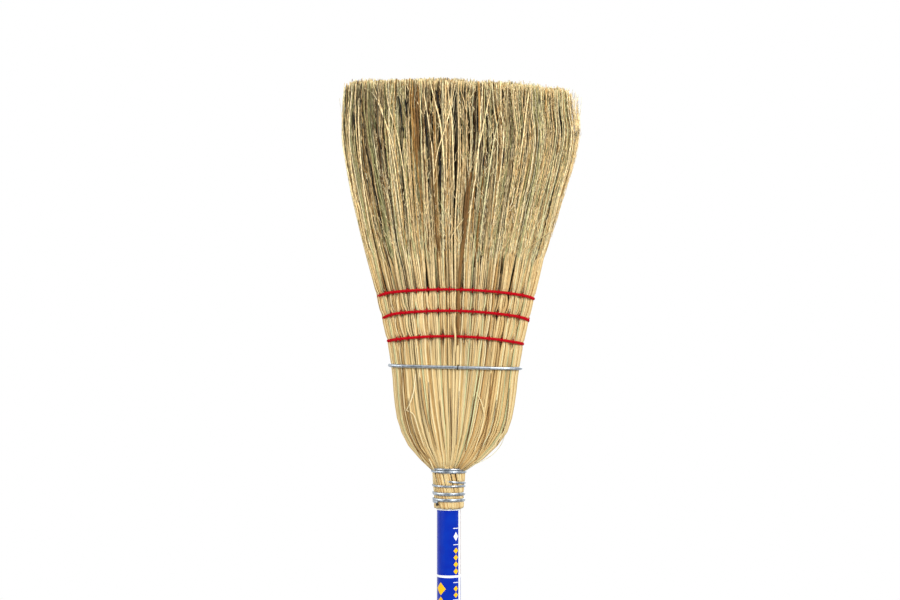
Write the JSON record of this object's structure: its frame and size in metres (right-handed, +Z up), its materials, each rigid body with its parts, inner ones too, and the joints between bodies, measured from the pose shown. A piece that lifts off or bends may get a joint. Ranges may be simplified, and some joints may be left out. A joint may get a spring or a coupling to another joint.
{
  "type": "straw broom",
  "caption": "Corn straw broom with a flat fan head bound by wire and sewn with red twine rows, on a round wooden pole with a printed film sleeve.",
  "frame": {"origin": "centre of the flat on the lower end of the pole, with the broom standing head up as it is stored", "axes": "+Z up the pole to the straw tips, +X across the fan, and the front of the fan faces -Y"},
  "size_m": [0.2762, 0.0584, 1.422],
  "materials": {
    "pole_wood": "turned hardwood under thin clear lacquer",
    "label_film": "glossy printed shrink film",
    "cover_straw": "dried broom corn stalks, smooth and slightly waxy",
    "inner_straw": "dried broom corn stalks, matt",
    "bristle_straw": "dried broom corn fibre, matt, tan to olive",
    "galvanised_wire": "drawn wire with a dull zinc coat",
    "nail_steel": "dark bright-drawn nail",
    "twine_red": "twisted dyed polypropylene twine",
    "thread_red": "twisted dyed sewing twine"
  },
  "bodies": {
    "root": {"handle": "pole_wood", "label_sleeve": "label_film", "front_hurl_cover": "cover_straw", "back_hurl_cover": "cover_straw", "left_shoulder_bundle": "inner_straw", "right_shoulder_bundle": "inner_straw", "core_bundle": "inner_straw", "neck_stalk_ends": "inner_straw", "front_hurl_bristles": "bristle_straw", "back_hurl_bristles": "bristle_straw", "left_shoulder_bristles": "bristle_straw", "right_shoulder_bristles": "bristle_straw", "core_bristles": "bristle_straw", "inner_binding_wire": "galvanised_wire", "binding_wire": "galvanised_wire", "hoop_wire": "galvanised_wire", "hoop_staples": "galvanised_wire", "binding_nails": "nail_steel", "stitch_wrap_1": "twine_red", "stitch_wrap_2": "twine_red", "stitch_wrap_3": "twine_red", "stitch_thread_1": "thread_red", "stitch_thread_2": "thread_red", "stitch_thread_3": "thread_red"}
  },
  "joints": []
}
